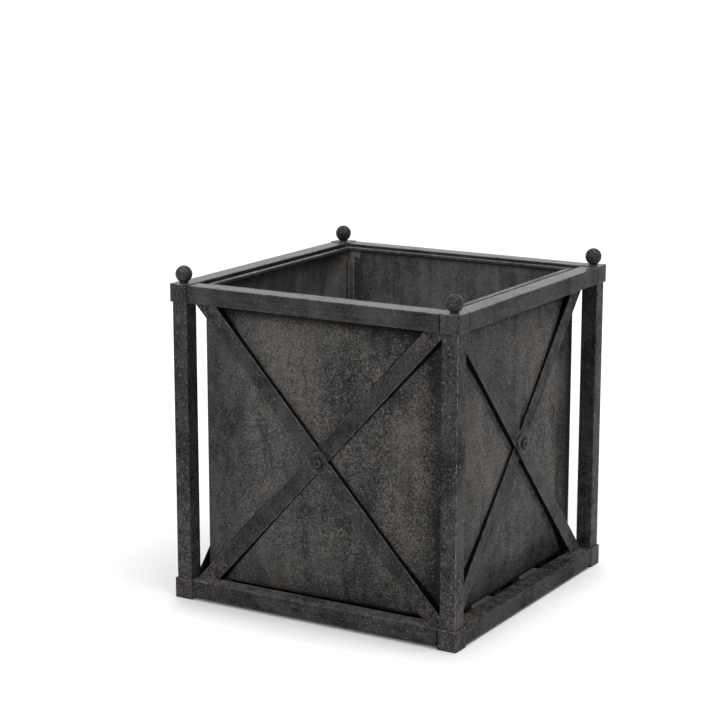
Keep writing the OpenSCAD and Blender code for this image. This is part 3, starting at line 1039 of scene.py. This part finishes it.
COLUMNS = 79
LEVELS = 73
mid = (LIP_LOW + FLOOR_TOP) / 2
tall = (LIP_LOW - FLOOR_TOP) / 2
up = np.concatenate([[LINER_LOW], mid + tall * spread(LEVELS), [LINER_HIGH]])[:, None]
for number, side in enumerate(SIDES):
    front_or_back = side in ("front", "back")
    axis = 0 if front_or_back else 1
    half = (span("liner_wall_" + side, axis)[1] - span("liner_wall_" + side, axis)[0]) / 2
    columns = np.concatenate([[-half], STRIP_IN * spread(COLUMNS), [half]])
    along = np.concatenate([columns, columns[::-1]])[None, :]
    inwards = np.repeat([0.0, SHEET], len(columns))[None, :]
    share = swelling(along / STRIP_IN) * swelling((up - mid) / tall)
    # The waves take up to 0.6 mm off the full swelling, and never add to it
    waves = 0.4 * MM * np.clip(uneven(up * 22, along * 9, 300 + number), -1, 0.5)
    swell = share * (SWOLLEN - LINER_OUT - 0.2 * MM + waves)
    rings = stand(side, along, LINER_OUT - inwards + swell, up + 0.0 * along)
    # Painted shade: the wall is dark in a band under the upper rail, and up to just above the lower rail
    fade = (-4, 3, 11, 22) if front_or_back else (-4, 3, 13, 17)
    rail_shade = np.interp((CAP_LOW - up) / MM, fade, (0.4, 0.9, 0.9, 0.0)) ** 1.5
    below = np.interp((up - FOOT_HIGH) / MM, (-4, 1, 4), (0.6, 0.9, 0.0))
    below = below * np.interp(along / MM, (-150, 50), (0.4, 1.0))
    rail_shade = np.maximum(rail_shade, below)
    # Painted shade reaches under a bar: furthest at the corners, where the sheet stands back from it
    depths = (2.5, 3.5, 8) if front_or_back else (4, 6, 14)
    shade_creep = np.interp(abs(along) / MM, (0, 60, 170), depths) * MM
    traits = {"along": along, "inside": np.sign(inwards), "rail_shade": rail_shade, "shade_creep": shade_creep}
    traits["swollen"] = share
    traits = {trait: (values + 0.0 * along + 0.0 * up)[None] for trait, values in traits.items()}
    solid = ["liner_wall_" + side]
    skin("wall_" + side, rings[None], wall_finish, "liner", solid, traits)

# %% [markdown]
# ## White surroundings
#
# The planter stands on a white floor in soft light. White surroundings matter on dark metal,
# because most of what one sees on it is their reflection, strongest where the eye skims along
# a face, as it does on the tops of the rails. The world is white to the camera and to
# reflections, and weaker as a light, so that broad suns can give the shadow a direction.

# %% The world
LIGHT_STRENGTH = 0.20
SEEN_STRENGTH = 1.0
world = bpy.data.worlds.new("white_room")
bpy.context.scene.world = world
world.use_nodes = True
room = world.node_tree
room.nodes.clear()


def surrounding(strength):
    """White light of this strength from all around."""
    shader = room.nodes.new("ShaderNodeBackground")
    shader.inputs["Color"].default_value = (1.0, 1.0, 1.0, 1.0)
    shader.inputs["Strength"].default_value = strength
    return shader.outputs[0]


# seen becomes 1 for rays from the camera, and for reflected and transmitted ones
rays = room.nodes.new("ShaderNodeLightPath")
seen = rays.outputs["Is Camera Ray"]
for kind in ("Is Glossy Ray", "Is Transmission Ray"):
    either = room.nodes.new("ShaderNodeMath")
    either.operation = "MAXIMUM"
    room.links.new(seen, either.inputs[0])
    room.links.new(rays.outputs[kind], either.inputs[1])
    seen = either.outputs[0]
shown = room.nodes.new("ShaderNodeMixShader")
room.links.new(seen, shown.inputs[0])
room.links.new(surrounding(LIGHT_STRENGTH), shown.inputs[1])
room.links.new(surrounding(SEEN_STRENGTH), shown.inputs[2])
out = room.nodes.new("ShaderNodeOutputWorld")
room.links.new(shown.outputs[0], out.inputs[0])
print("world", SEEN_STRENGTH, "when seen and", LIGHT_STRENGTH, "as a light")

# %% [markdown]
# ## Four broad suns
#
# Suns are used rather than lamps, because their light doesn't fall off and the far floor stays
# as white as the near one. Their discs are far wider than the real sun's, which makes shadows
# soft. The weakest stands behind, so that the planter's back isn't left in the dark. It is
# hidden from reflections, or it would glare off the tops of the rails.

# %% The suns


def soft_sun(name, toward, width, strength):
    """A sun in the direction toward, whose disc is width degrees wide."""
    data = bpy.data.lights.new(name, "SUN")
    data.angle = math.radians(width)
    data.energy = strength
    lamp = bpy.data.objects.new(name, data)
    bpy.context.scene.collection.objects.link(lamp)
    back = np.array(toward) / np.linalg.norm(toward)
    right = np.cross([0.0, 1.0, 0.0], back)
    right = right / np.linalg.norm(right)
    lamp.matrix_world = facing(right, np.cross(back, right), back)
    return lamp


soft_sun("overhead_sun", (-0.05, 0.08, 1.0), 12.0, 1.15)
soft_sun("side_sun", (0.37, 0.0, 0.93), 32.0, 1.35)
soft_sun("front_sun", (0.10, -0.80, 0.58), 40.0, 1.20)
back_sun = soft_sun("back_sun", (-0.55, 0.65, 0.50), 40.0, 0.50)
back_sun.visible_glossy = False

# %% [markdown]
# ## The floor
#
# The floor only has to be wide and white. It glows a little, but to the camera alone, which
# makes it whiter in the picture without lighting the planter from below.

# %% The floor
FLOOR_REACH = 60.0
FLOOR_GLOW = 0.05
floor_corners = [(x * FLOOR_REACH, y * FLOOR_REACH, 0.0) for x, y in ((-1, -1), (1, -1), (1, 1), (-1, 1))]
floor_mesh = bpy.data.meshes.new("floor")
floor_mesh.from_pydata(floor_corners, [], [(0, 1, 2, 3)])
floor = bpy.data.objects.new("floor", floor_mesh)
bpy.context.scene.collection.objects.link(floor)
ground = Net("floor_white")
to_camera = ground.add("ShaderNodeLightPath", {}, {}, "Is Camera Ray")
matt = ground.add("ShaderNodeBsdfDiffuse", {}, {"Color": (0.9, 0.9, 0.9)})
glow = ground.add("ShaderNodeEmission", {}, {"Color": (1.0, 1.0, 1.0), "Strength": FLOOR_GLOW})
lit = ground.add("ShaderNodeAddShader", {}, {0: matt, 1: glow})
both = ground.add("ShaderNodeMixShader", {}, {0: to_camera, 1: matt, 2: lit})
ground.add("ShaderNodeOutputMaterial", {}, {"Surface": both})
floor_mesh.materials.append(ground.material)
print("floor", 2 * FLOOR_REACH, "m wide")
